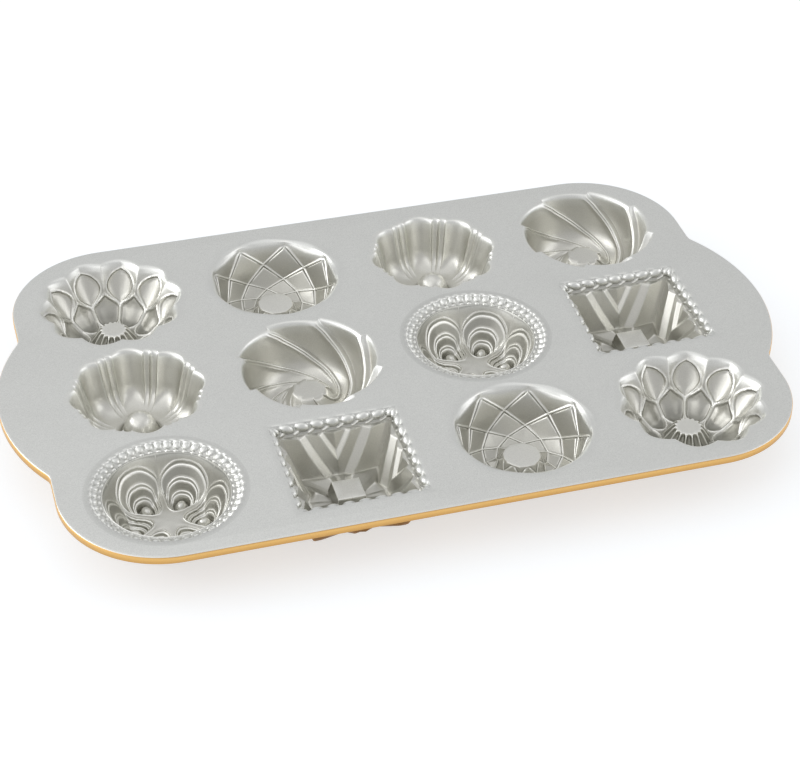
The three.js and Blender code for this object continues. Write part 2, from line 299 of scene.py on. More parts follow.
def relief_of(grid):
    """How sharply a grid of points bends, from 1 along a crest to -1 in a crease.

    The neighbouring sectors' columns are joined on first. Bends are in radians per millimetre.
    """
    least_length, sharpest, crest_bends, crease_bends = 0.05, 4, (0.2, 1.0), (0.8, 2.6)
    spans = np.unwrap(np.arctan2(grid[..., 1], grid[..., 0]), axis=1)
    span = np.median(spans[:, -1] - spans[:, 0])
    c, s = math.cos(span), math.sin(span)
    onward = np.array([[c, s, 0], [-s, c, 0], [0, 0, 1]])
    wide = np.concatenate([grid[:, -2:-1] @ onward.T, grid, grid[:, 1:2] @ onward], 1)
    normal = -facing(wide)
    bend = np.zeros(wide.shape[:2])
    for axis in (0, 1):
        ahead, back = np.roll(wide, -1, axis) - wide, np.roll(wide, 1, axis) - wide
        ahead_length = np.maximum(np.linalg.norm(ahead, axis=-1), least_length)
        back_length = np.maximum(np.linalg.norm(back, axis=-1), least_length)
        turn = ahead / ahead_length[..., None] + back / back_length[..., None]
        turn = -2 * (turn * normal).sum(-1) / (ahead_length + back_length)
        if axis == 0:
            turn[0], turn[-1] = turn[1], turn[-2]
        bend += turn
    bend = softened(np.clip(bend, -sharpest, sharpest)[..., None], 2)[:, 1:-1, 0]
    # Crests get a painted highlight and creases painted shade from this value.
    return smooth(bend, *crest_bends) - smooth(-bend, *crease_bends)


class Sector:
    """The points and faces of one repeat of a cup, before it is spun round the cup's middle."""

    def __init__(self):
        self.points, self.faces, self.outside, self.relief = [], [], [], []
        self.total = 0

    def add_points(self, points, relief=None):
        first = self.total
        points = np.asarray(points, float).reshape(-1, 3)
        self.points.append(points)
        self.relief.append(np.zeros(len(points)) if relief is None else relief.ravel())
        self.total += len(points)
        return first

    def add_faces(self, faces, outside):
        self.faces.extend(faces)
        self.outside.extend([outside] * len(faces))

    def add_grid(self, grid, outside, relief=None, folded=False):
        """Faces between a grid's rows, which run outwards inside the cup and inwards outside it.

        Folded faces are split into triangles.
        """
        rows, columns = grid.shape[:2]
        if relief is None and rows > 2:
            relief = relief_of(grid)
        first = self.add_points(grid, relief)
        faces = []
        for i in range(rows - 1):
            for j in range(columns - 1):
                a = first + i * columns + j
                b, c, d = a + columns, a + columns + 1, a + 1
                faces.extend(((a, b, c), (a, c, d)) if folded else [(a, b, c, d)])
        self.add_faces(faces, outside)
        return first

    def add_pole(self, first, columns, height, outside, relief):
        """Closes the hole round the cup's middle with a fan."""
        pole = self.add_points([(0, 0, height)], np.array([relief]))
        ring = [(pole, first + j, first + j + 1) for j in range(columns - 1)]
        self.add_faces([face[::-1] for face in ring] if outside else ring, outside)

    def mesh(self, name):
        mesh = bpy.data.meshes.new(name)
        points = np.concatenate(self.points) * MM
        points[:, 2] += DECK_TOP * MM
        mesh.from_pydata(points.tolist(), [], self.faces)
        flag = mesh.attributes.new("outside", "BOOLEAN", "FACE")
        flag.data.foreach_set("value", self.outside)
        relief = mesh.attributes.new("relief", "FLOAT", "POINT")
        relief.data.foreach_set("value", np.concatenate(self.relief))
        return mesh


def add_shell(sector, mouth, outside):
    """The web between a sector's mouth and its outside, then the outside rows down to the middle."""
    sector.edge = mouth[:, :2]
    sector.add_grid(np.stack([mouth, outside[0]]), True)
    # The outside's bends carry painted highlight and shade, with painted shade over all of it.
    first = sector.add_grid(outside, True, np.clip(relief_of(outside) + OUTSIDE_SHADE, -1, 1))
    columns, height = outside.shape[1], outside[-1, :, 2].mean()
    sector.add_pole(first + (len(outside) - 1) * columns, columns, height, True, OUTSIDE_SHADE)


def sheet_sector(inside, outside, painted_shading):
    """A sector from its inside rows and its outside rows, both listed from the mouth to the middle."""
    sector = Sector()
    # Painted highlights and shade: from the inside's bends and from the design's own painted shading.
    relief = np.clip(relief_of(inside[::-1]) + painted_shading[::-1], -1, 1)
    first = sector.add_grid(inside[::-1], False, relief)
    sector.add_pole(first, inside.shape[1], inside[-1, :, 2].mean(), False, relief[0].mean())
    add_shell(sector, inside[0], outside)
    return sector


# ---- the six cup designs
def divided(marks, counts):
    """Marks along a line with each space between two of them divided evenly."""
    steps = [np.linspace(a, b, n + 1)[1:] for a, b, n in zip(marks, marks[1:], counts)]
    return np.concatenate([marks[:1], *steps])


def columns_of(marks, counts):
    """Angles across one sector in degrees, with the extra columns past each side."""
    angles = divided(marks, counts)
    span = marks[-1] - marks[0]
    return np.concatenate([angles[-EXTRA - 1 : -1] - span, angles, angles[1 : EXTRA + 1] + span])


def trimmed(*grids):
    """The grids without the extra columns."""
    return [grid[:, EXTRA:-EXTRA] for grid in grids]


def corners_of(count, *corners):
    """A wall's corners from their radius, depth and anything carried, as one line for each column."""
    return [np.stack([np.broadcast_to(np.asarray(v, float), (count,)) for v in c], 1) for c in corners]


def wrapped(angles, start, span):
    """Angles brought into the one repeat that begins at the start."""
    return (angles - start) % span + start


def smooth(value, low, high):
    """Eases from 0 at the low value to 1 at the high value."""
    share = np.clip((value - low) / (high - low), 0, 1)
    return share * share * (3 - 2 * share)


def bead(value, centre, half):
    """A soft line: 1 at its centre, and almost 0 at twice its half width."""
    return np.exp(-(((value - centre) / half) ** 2))


def knob(across, half_across, along, half_along):
    """The height of a rounded bump, from 1 at its middle to 0 at its edge."""
    return np.sqrt(np.clip(1 - (across / half_across) ** 2 - (along / half_along) ** 2, 0, 1))


def flute_sector():
    """Eight wide flutes with a pair of narrow ones between each two, and a dome in the middle."""
    span, wide, narrow = 45, 14.85, 7.65
    angles = columns_of((-wide, wide, wide + narrow, span - wide), (34, 11, 11))
    place = wrapped(angles, -wide, span)
    bow = np.where(
        place < wide,
        3.0 * (1 - (place / wide) ** 2),
        1.2 * (1 - ((np.abs(place - span / 2) - narrow / 2) / (narrow / 2)) ** 4),
    )
    count = len(angles)
    dome_radius, dome_depth = 8.2, 23.6
    corners = corners_of(
        count,
        (30.5 + bow + LIP, 0),
        (30.5 + bow, 0),
        (24.6 + bow * 0.95, 21.5),
        (19.0 + bow * 0.5, 26.4),
        (10.2, 27.2),
        (dome_radius, dome_depth),
    )
    inside = rounded_rows(corners, (3.0, 4.5, 5.0, 1.5), (1, 26, 3, 6, 3), (9, 12, 12, 6))
    lift = np.radians(np.linspace(0, 87, 22))[1:, None]
    dome = np.stack([dome_radius * np.cos(lift), dome_depth - dome_radius * np.sin(lift)], -1)
    inside = np.concatenate([inside, np.broadcast_to(dome, (len(lift), count, 2))])
    shell = below_deck(corners[0][:, 0], thickened(corners[1:5] + corners_of(count, (6.5, 17.0))))
    shell = shell[:-1] + corners_of(count, (5.2, 24.0), (4.6, 19.6), (0.5, 18.6))
    outside = outside_rows(shell, (2, 3.5, 3.5, 1, 1.5, 1.5), (2, 12, 3, 3, 3, 3, 3), (4, 5, 5, 2, 2, 3))
    radius, depth = inside[..., 0], inside[..., 1]
    # Painted shading: the whole wall lightened a little, a painted highlight on the dome's top and
    # painted shade round its foot.
    dome_top = smooth(-depth, -22.5, -19) * (radius < 9)
    dome_foot = bead(radius, 10.2, 1.7) * (depth > 22)
    painted_shading = 0.24 + 0.26 * dome_top - dome_foot
    return sheet_sector(*trimmed(in_space(inside, angles), in_space(outside, angles), painted_shading))


def swirl_sector():
    """Eight blades that sweep round as they go down and climb onto a flat disc in the middle."""
    span, step, round_off = 45, 1.5, 0.42
    angles = columns_of((0, 1.6, 7, 36, 41.6, span), (7, 12, 14, 7, 16))
    place = wrapped(angles, 0, span)
    fine = np.linspace(-span, 2 * span, 2701)  # a twentieth of a degree apart
    saw = wrapped(fine, 0, span)
    saw = np.where(saw < span - step, saw / (span - step), (span - saw) / step)
    window = np.exp(-((np.arange(-40, 41) * 0.05 / round_off) ** 2))
    rise = np.interp(place, fine, np.convolve(saw, window / window.sum(), "same"))

    def ring(radius, depth, path, out_radius=0, out_depth=0):
        """A corner that a blade's crest carries outwards and down by the last two measures."""
        return radius + rise * out_radius, depth + rise * out_depth, path

    corners = corners_of(
        len(angles),
        ring(33.3 + LIP, 0, -LIP, 3.0),
        ring(33.3, 0, 0, 3.0),
        ring(29.2, 12.3, 13, 2.8, 0.3),
        ring(25.6, 20.2, 21.7, 2.2, 0.8),
        ring(20.6, 24.0, 28, 1.3, 1.4),
        ring(14.0, 25.0, 35, 0.3, 1.5),
        ring(9.2, DISC_DEPTH, 43.7, -0.9, 0.6),
        ring(7.2, DISC_DEPTH, 45.7),
        ring(0.5, DISC_DEPTH, 52),
    )
    cuts, bends = (3.0, 5, 4, 3, 3.5, 0.8, 0.5), (9, 8, 8, 6, 8, 4, 2)
    inside = rounded_rows(corners, cuts, (2, 18, 6, 4, 4, 10, 2, 6), bends)
    shell = below_deck(corners[0][:, 0], thickened(corners[1:]))
    outside = outside_rows(shell, (2, 4, 4, 3, 3, 1, 1), (2, 8, 5, 3, 3, 5, 2, 3), (4, 4, 3, 3, 3, 3, 1))

    def swept(rows):
        """Points in space, turned further round the cup the further down they lie."""
        paths = (-LIP, 0, 2.1, 5.2, 8.4, 12.6, 15.8, 19.2, 21.7,
                 24.6, 27.2, 29.5, 31.5, 33.5, 36, 40, 44, 52)
        turns = (70, 70, 68, 61, 55, 45, 37, 28, 20, 8, -3, -16, -28, -42, -58, -78, -90, -90)
        return in_space(rows, angles + np.interp(rows[..., 2], paths, turns))

    # Two raised lines follow each crest: a narrow one on it and a broader one beside it.
    points, path = swept(inside), inside[..., 2]
    slant = 0.85
    past_crest = np.where(place > span / 2, place - span, place) * inside[..., 0] * math.radians(slant)
    lines = bead(past_crest, 0.15, 0.4) + bead(past_crest, 1.9, np.where(past_crest < 1.9, 0.45, 1.8))
    lines = 0.5 * lines * smooth(path, 0.5, 3) * (1 - smooth(path, 36, 43))
    points = points + facing(points) * lines[..., None]
    # Painted shading: a little lighter all over, with a painted highlight on the flat disc.
    painted_shading = 0.08 + 0.27 * smooth(path, 44.4, 45.8)
    return sheet_sector(*trimmed(softened(points, 1), softened(swept(outside), 1), painted_shading))


# Radius and depth of the ridges' crossings, row by row, with the length of the tile sides below them.
CROSSINGS = ((37.0, -8.0), (33.1, 2.1), (29.4, 12.3), (26.2, 20.2), (21.9, 23.5), (17.8, 25.1),
             (13.8, 25.9), (11.3, 22.6), (9.2, 17.9), (7.4, 13.0))
TILE_SIDES = (16, 16.3, 13.8, 10.8, 8.9, 7.4, 6.5, 6.3)


def tile_points(row, column, p, q):
    """One diamond tile between four crossings: p runs down to the right and q down to the left.

    Its edges are raised ridges, and its upper half stands proud inside them.
    """
    wide, deep = np.array(CROSSINGS).T

    def crossing(row, column):
        turn = math.radians(22.5 * column)
        return np.array([wide[row] * math.cos(turn), wide[row] * math.sin(turn), -deep[row]])

    top, foot = crossing(row, column), crossing(row + 2, column)
    left, right = crossing(row + 1, column - 1), crossing(row + 1, column + 1)
    share_p, share_q = p[..., None], q[..., None]
    if row < 3:  # the wall's tiles are evenly bowed, the lower ones are creased from top to foot
        points = (
            top * (1 - share_p) * (1 - share_q) + right * share_p * (1 - share_q)
            + left * (1 - share_p) * share_q + foot * share_p * share_q
        )
    else:
        low, high = np.minimum(share_p, share_q), np.maximum(share_p, share_q)
        points = top * (1 - high) + np.where(share_p > share_q, right, left) * (high - low) + foot * low
    level = row + p + q
    lean = np.interp(level, range(1, 9), (-0.94, -0.935, -0.80, -0.5, -0.28, 0.35, 0.86, 0.91))
    rise = np.sqrt(1 - lean**2)
    radius = np.maximum(np.hypot(points[..., 0], points[..., 1]), 1e-6)
    towards = np.stack([points[..., 0] / radius * lean, points[..., 1] / radius * lean, rise], -1)
    side = TILE_SIDES[row]
    upper, lower = np.minimum(p, q) * side, np.minimum(1 - p, 1 - q) * side
    ridge = bead(np.minimum(upper, lower), 0, 0.5)
    step_in = min(1.3, 0.16 * side)
    proud = (1 - p) * (1 - q) * smooth(upper, 0.55 * step_in, step_in) if 0 < row < 6 else 0 * p
    fade = smooth(level, 1.05, 1.2) * (1 - smooth(level, 7.6, 7.95))
    # Painted highlights on the ridges and on the proud edge of each tile's upper half, painted shade
    # between ridge and that edge, and a little painted shade all over.
    relief = -0.12 + 1.4 * ridge * fade + 0.9 * bead(upper, step_in, 0.3) * (proud > 0.2)
    relief -= 1.4 * bead(upper, 0.6 * step_in, 0.3) * fade
    ridge_height, tile_height = 0.42, 0.075 * side
    height = ridge_height * ridge * fade + tile_height * proud
    return points + towards * height[..., None], np.clip(relief, -1, 1)


def lattice_sector():
    """Diamond tiles between two families of crossing ridges, down the wall and up onto a flat disc."""
    near = np.array((0, 0.012, 0.024, 0.036, 0.05, 0.065, 0.08, 0.1, 0.13, 0.17, 0.24, 0.34, 0.44))
    marks = np.concatenate([near, [0.5], 1 - near[::-1]])
    sector = Sector()
    p, q = np.meshgrid(marks, marks, indexing="ij")
    for row in range(1, 7):
        points, relief = tile_points(row, row % 2, p, q)
        sector.add_grid(points, False, relief, folded=True)

    # The half tiles at the mouth are spanned between a level line and their two lower edges.
    across = np.concatenate([marks / 2, 1 - marks[-2::-1] / 2])
    down = np.array((0, 0.2, 0.4, 0.55, 0.68, 0.78, 0.85, 0.9, 0.93, 0.955, 0.975, 1))[:, None]
    low_p, low_q = np.minimum(2 * across, 1), np.minimum(2 - 2 * across, 1)
    half_p, half_q = across + (low_p - across) * down, (1 - across) + (low_q - (1 - across)) * down
    top, top_relief = tile_points(0, 0, half_p, half_q)
    sector.add_grid(top[::-1], False, top_relief[::-1], folded=True)

    angles = bearings(top[0])
    count = len(angles)
    mouth = 34.2 - 0.5 * np.cos(np.radians((angles + 22.5) * 8))
    lip = corners_of(
        count,
        (mouth + LIP, 0),
        (mouth, 0),
        (np.hypot(*top[0, :, :2].T), -top[0, :, 2]),
    )
    lip = in_space(rounded_rows(lip, (2.6,), (1, 3), (9,)), angles)
    sector.add_grid(lip[::-1], False)

    # The half tiles round the disc are spanned the other way up.
    up_p, up_q = np.maximum(2 * across - 1, 0), np.maximum(1 - 2 * across, 0)
    foot, foot_relief = tile_points(7, 1, up_p + (across - up_p) * (1 - down[::-1]),
                                    up_q + (1 - across - up_q) * (1 - down[::-1]))
    sector.add_grid(foot[::-1], False, foot_relief[::-1], folded=True)
    turns = bearings(foot[-1])
    foot_radius = np.hypot(*foot[-1, :, :2].T)
    disc = corners_of(
        count,
        (foot_radius, -foot[-1, :, 2]),
        (foot_radius - 0.3, DISC_DEPTH),
        (0.5, DISC_DEPTH),
    )
    disc = in_space(rounded_rows(disc, (0.2,), (1, 4), (2,)), turns)
    # The flat disc gets a painted highlight.
    first = sector.add_grid(disc[::-1], False, np.full(disc.shape[:2], CROWN_HIGHLIGHT))
    sector.add_pole(first, count, disc[-1, :, 2].mean(), False, CROWN_HIGHLIGHT)

    shell = corners_of(
        count,
        (mouth, 0),
        (29.2, 12.3),
        (25.6, 20.2),
        (20.0, 24.6),
        (13.0, 26.6),
        (8.8, 17.8),
        (0.5, 17.8),
    )
    shell = below_deck(mouth + LIP, thickened(shell))
    outside = outside_rows(shell, (2, 3, 3, 2, 2, 1), (2, 6, 5, 3, 3, 5, 3), (3, 3, 3, 3, 3, 2))
    add_shell(sector, lip[0], in_space(outside, angles))
    return sector


def petal_sector():
    """Two of ten gabled lobes, a leaf in each, leaves between them lower down, and a fluted cone."""
    half = 18.0
    angles = columns_of((-2 * half, -half, 0, half, 2 * half), (23, 23, 23, 23))
    lean = np.abs(wrapped(angles, -half, 2 * half))

    # Three ways from a lobe's tip to the crease beside it: straight, in a wave, and in a scoop.
    def chord(tip, crease):
        across = tip * np.sin(np.radians(lean)) + crease * np.sin(np.radians(half - lean))
        return tip * crease * math.sin(math.radians(half)) / across

    def wave(tip, crease):
        return tip + (crease - tip) * ((1 - np.cos(np.pi * lean / half)) / 2)

    def scoop(tip, crease):
        return tip + (crease - tip) * (1 - np.cos(np.pi * lean / half / 2))

    corners = corners_of(
        len(angles),
        (scoop(37.0, 34.4) + LIP, 0, -LIP),
        (scoop(37.3, 33.6), 0, 0),
        (0.6 * chord(35.9, 31.6) + 0.4 * scoop(35.9, 31.6), 3.0, 3.4),
        (scoop(33.4, 29.5), 6.3, 6.9),
        (0.5 * scoop(29.5, 26.3) + 0.5 * wave(29.5, 26.3), wave(12.5, 12.9), 13.2),
        (wave(24.4, 22.4), wave(19.8, 20.2), 20),
        (wave(18.8, 17.6), 25.3, 25.2),
        (12.2, 26.6, 30.8),
        (6.4 + 0.5 * np.cos(np.radians(angles * 15)), 18.4, 41),
        (0.5, 18.4, 47),
    )
    cuts, bends = (2.4, 0.5, 1.0, 2.0, 2.5, 1.6, 1.0, 0.3), (8, 2, 4, 4, 6, 5, 3, 3)
    inside = rounded_rows(corners, cuts, (1, 2, 8, 20, 22, 8, 8, 16, 4), bends)
    path, radius = inside[..., 2], inside[..., 0]
    arc = radius * math.pi / 180  # millimetres to a degree

    def leaf(centre, paths, widths):
        """Distance in from a leaf's outline, whose half widths are given in degrees."""
        width = np.interp(path, paths, widths)
        slope = (np.interp(path + 0.2, paths, widths) - np.interp(path - 0.2, paths, widths)) / 0.4
        across = np.abs(lean - centre)
        inwards = (width - across) * arc / np.sqrt(1 + (slope * arc * 0.8) ** 2)
        return np.where(path > paths[-1], -4, inwards)

    upper = leaf(
        0,
        (3.2, 3.8, 4.8, 6, 8, 9.5, 10.8, 12, 13.5, 15, 16.5, 18, 19, 19.7, 20.3),
        (-4, 0, 5.6, 9.2, 13.0, 14.6, 15.0, 14.7, 13.6, 11.5, 8.6, 5.0, 2.3, 0, -4),
    )
    lower = leaf(
        half,
        (12.9, 13.7, 15, 16.5, 18, 19.2, 20.2, 26, 28, 29.4, 30.2, 30.8),
        (-4, 0, 3.0, 6.6, 10.8, 14.8, 17.3, 17.3, 15.0, 9.5, 0, -6),
    )
    top_share = 1 - smooth(path, 9, 19)
    rim = np.maximum(bead(upper, 0, 0.36), bead(lower, 0, 0.36))
    crest = bead((half - lean) * arc, 0, 0.35) * (1 - smooth(path, 10, 13)) * smooth(path, 0.5, 2.0)
    height = 0.5 * rim
    height -= smooth(upper, 0.3, 1.1) * (0.3 + 0.3 * top_share) + 0.25 * smooth(upper, 1.0, 3.2)
    height -= smooth(lower, 0.3, 1.1) * 0.45 + 0.25 * smooth(lower, 1.0, 3.4)

    # The cone in the middle has fine rays, with hollow flutes between them.
    ray = np.abs(wrapped(angles, -12, 24))
    flutes = smooth(path, 30.4, 31.6) * (1 - smooth(path, 39.2, 40.6))
    hollow = np.clip(ray / 12 * (2 - ray / 12), 0, 1)
    height += (0.4 - hollow) * flutes

    # Painted shading: painted highlights on the leaf rims, the lobes' crests, the cone's rays and its
    # crown; painted shade just inside the rims, between the leaves, in the flutes, low in the lower
    # leaves and round the cone's foot. The rest is lightened a little.
    between = np.minimum(-upper, -lower) * (path > 4) * (path < 20)
    painted_shading = (rim + 0.8 * crest) * (1 - flutes)
    painted_shading = painted_shading - 0.45 * bead(upper, 0.85, 0.32) - 0.4 * bead(lower, 0.85, 0.32)
    painted_shading -= 0.45 * smooth(between, 0.45, 0.8) * (1 - crest) * smooth(path, 9, 13)
    painted_shading += flutes * (1.2 * bead(ray * arc, 0, 0.3) - 0.75 * smooth(ray * arc, 0.2, 0.8))
    painted_shading -= (0.2 + 0.8 * smooth(path, 18, 28)) * smooth(lower, 0.3, 2.0) * (1 - flutes)
    cone_foot = smooth(path, 27, 30.5) * (1 - smooth(path, 30.5, 31.5))
    painted_shading -= 0.8 * cone_foot * (1 - smooth(lower, -0.8, -0.2))
    painted_shading += 0.08 * (1 - flutes) + (CROWN_HIGHLIGHT - 0.08) * smooth(path, 40, 41.2)
    points = in_space(inside, angles)
    points = points + facing(points) * height[..., None]
    shell = below_deck(corners[0][:, 0], thickened(corners[1:2] + corners[5:]))
    outside = outside_rows(shell, (2, 3, 2, 1.5, 1), (2, 14, 5, 3, 6, 3), (4, 4, 3, 2, 3))
    return sheet_sector(*trimmed(points, in_space(outside, angles), painted_shading))


def arch_sector():
    """A beaded rim over six pockets of nested arches, with a smooth star between their feet.

    Each pocket's points lie on rays from its heart, out to the beaded rim or to the sector's sides.
    """
    half, ring_radius, ring_depth, heart = 30.0, 30.2, 2.8, 16.8
    side = math.radians(half)
    split = math.degrees(math.atan2(ring_radius * math.sin(side), ring_radius * math.cos(side) - heart))
    rim_count = 81
    rim_turns = np.linspace(-split, split, rim_count)
    side_turns = split + (180 - split) * np.linspace(0, 1, 37)[1:] ** 0.9
    turns = np.concatenate([rim_turns, side_turns, 360 - side_turns[-2::-1], [360 - split]])
    sine, cosine = np.sin(np.radians(turns)), np.cos(np.radians(turns))
    to_ring = -heart * cosine + np.sqrt(ring_radius**2 - (heart * sine) ** 2)
    tangent = math.tan(side)
    to_side = heart * tangent / np.maximum(np.abs(sine) - cosine * tangent, 1e-6)
    on_ring = np.minimum(turns, 360 - turns) <= split + 1e-6
    to_edge = np.where(on_ring, to_ring, to_side)
    around = np.minimum(turns % 360, 360 - turns % 360)

    def line(marks, values):
        """Values given at some angles from the outward ray, for every ray."""
        return np.interp(around, marks, values)

    bowl_radii = np.linspace(0, ring_radius, 241)
    bowl_depths = np.interp(
        bowl_radii,
        (0, 7, 12.3, 16, 19.4, 21.6, 23.3, 25.3, 26.6, 28, 29.2, ring_radius),
        (19.6, 19.8, 20.2, 20.6, 20.4, 19.4, 17.8, 14.8, 11.7, 8.0, 5.2, ring_depth),
    )
    bowl_depths = softened(bowl_depths[:, None, None], 25)[:, 0, 0]

    def bowl(distance):
        """Depth of the smooth bowl that the pockets are sunk into, at a distance from the heart."""
        return np.interp(np.hypot(heart + distance * cosine, distance * sine), bowl_radii, bowl_depths)

    marks = (0, 15, 30, 45, 55, 62, 68, 75, 90, 110, 135, 150, 165, 180)
    outer = line(marks, (12.1, 12.3, 12.7, 13.1, 13.4, 13.6, 13.2, 11.5, 8.8, 7.5, 7.7, 8.6, 9.5, 10.1))
    outer = np.minimum(outer, to_edge - 0.12)
    outer_depth = bowl(outer)
    floor_depth = 26.3

    spokes = (0, 30, 60, 90, 120, 150, 180)
    second = line(spokes, (7.8, 8.3, 8.8, 7.0, 6.1, 6.7, 7.6))
    third = line(spokes, (5.5, 5.7, 5.8, 4.9, 4.6, 5.1, 5.8))
    groove = line(spokes, (3.8, 3.7, 3.5, 3.2, 3.3, 3.6, 3.9))
    button = line(spokes, (3.2, 3.0, 2.6, 2.4, 2.5, 2.9, 3.2))
    drop = floor_depth - outer_depth
    ledge_corners = (
        (outer, -0.85, 0.10), (outer, -1.3, 0.11),
        (second, 0.35, 0.37), (second, 0, 0.375), (second, -0.45, 0.46), (second, -0.85, 0.465),
        (third, 0.35, 0.70), (third, 0, 0.705), (third, -0.4, 0.78), (third, -0.75, 0.785),
    )
    steps = [
        (to_edge, bowl(to_edge)),
        (outer + 0.1, outer_depth + 0.15),
        (outer - 0.3, outer_depth - 0.2),
        *((curve + out, outer_depth + share * drop) for curve, out, share in ledge_corners),
        (groove, floor_depth),
        (button + 0.15, floor_depth + 0.1),
        (button - 0.15, floor_depth - 1.9),
        (button * 0.5, floor_depth - 3.4),
        (0.3, floor_depth - 3.5),
    ]
    for k in range(2, len(steps) - 1):
        steps[k] = (np.minimum(steps[k][0], steps[k - 1][0] - 0.07), steps[k][1])
    ledge_edges = steps[2:14:2]
    rows = rounded_rows(
        corners_of(len(turns), *steps),
        (0.2, 0.2, 0.3, 0.15, 0.15, 0.12, 0.2, 0.15, 0.15, 0.12, 0.2, 0.15, 0.3, 0.15, 1.2, 1.0),
        (7, 1, 2, 1, 5, 1, 2, 1, 4, 1, 2, 1, 3, 1, 2, 1, 1),
        (1, 2, 1, 1, 2, 1, 1, 1, 2, 1, 1, 1, 2, 1, 4, 3),
    )
    fall_row = 8  # the rows before it follow the bowl's curve
    last = rows[fall_row - 1].copy()
    for row, share in zip(rows, np.linspace(0, 1, fall_row)):
        row[:, 1] = bowl(row[:, 0]) + (last[:, 1] - bowl(last[:, 0])) * share**3
    pocket = in_space(rows, turns)
    pocket[..., 0] += heart

    rim = pocket[0, :rim_count]
    angles = bearings(rim)
    count = len(angles)
    band = corners_of(
        count,
        (36.0 + LIP, 0, 0),
        (36.0, 0, LIP),
        (35.6, 1.5, LIP + 1.5),
        (31.3, 3.3, LIP + 6.0),
        (ring_radius, ring_depth, LIP + 7.2),
    )
    band = rounded_rows(band, (1.2, 0.6, 0.25), (1, 1, 18, 4), (5, 4, 2))
    path = band[..., 2] - LIP
    bead_turn, pitch = 7.5, ring_radius * math.pi / 24 * 1.12
    off_centre = ((angles / bead_turn) % 1 - 0.5) * pitch
    large = 1.25 * knob(off_centre, 1.95, path - 2.4, 2.4)
    small = 0.75 * knob(off_centre, 1.2, path - 5.65, 0.8)
    band_points = in_space(band, angles)
    outward = band_points * (1, 1, 0) / np.maximum(band[..., :1], 1)
    band_points = band_points + (np.array([0, 0, 0.9]) - 0.43 * outward) * (large + small)[..., None]
    band_points[..., 2] = np.minimum(band_points[..., 2], 0)
    band_points[-1] = rim

    sector = Sector()
    closed = np.concatenate([pocket, pocket[:, :1]], 1)[::-1]
    ledges = 0
    for distance, depth in ledge_edges:
        away = np.hypot(rows[..., 0] - distance - 0.1, rows[..., 1] - depth)
        ledges = np.maximum(ledges, bead(away, 0, 0.42))
    # Painted shading: painted highlights along the ledges' edges, painted shade between them, the upper
    # rows lighter on the side towards the cup's middle, and painted highlights on the button.
    relief = 1.45 * ledges - 0.45
    relief[:fall_row] = np.maximum(0.55 * smooth(around, 140, 178) - 0.25, ledges[:fall_row])
    relief[0, :rim_count], relief[1, :rim_count] = 1, -0.5  # a painted highlight line under the beads, with painted shade below it
    relief[rows[..., 0] <= button] = 0.5
    relief = np.clip(relief, -1, 1)
    first = sector.add_grid(closed, False, np.concatenate([relief, relief[:, :1]], 1)[::-1])
    button_top = sector.add_points([(heart, 0, pocket[-1, :, 2].mean())], np.array([0.3]))
    sector.add_faces([(button_top, first + j, first + j + 1) for j in range(len(turns))], False)
    # The beaded band: painted highlight and shade from its bends, a little painted shade all over, and a
    # painted highlight along its foot with painted shade just above it.
    relief = np.clip(relief_of(band_points[::-1]) - 0.2, -1, 1)
    relief[0], relief[1], relief[2] = 1, 0.8, -0.6
    sector.add_grid(band_points[::-1], False, relief)

    lobe = (1 + np.cos(np.radians(angles * 6))) / 2
    shell = corners_of(
        count,
        (36.0 + LIP, DECK_THICKNESS),
        (33.4 + lobe, DECK_THICKNESS),
        (28.6 + 1.5 * lobe, 14.5),
        (23.0 + 1.2 * lobe, 23.4 + 1.2 * lobe),
        (18.0 + 2.2 * lobe, 26.6 + 3.2 * lobe),
        (11.0 + 0.5 * lobe, 25.8 + 4.0 * lobe),
        (5.5, 24.4),
        (0.5, 24.0),
    )
    outside = outside_rows(shell, (2, 3, 3, 2, 2, 2), (1, 4, 5, 3, 4, 4, 2), (2, 2, 3, 3, 3, 2))
    add_shell(sector, band_points[0], in_space(outside, angles))
    return sector


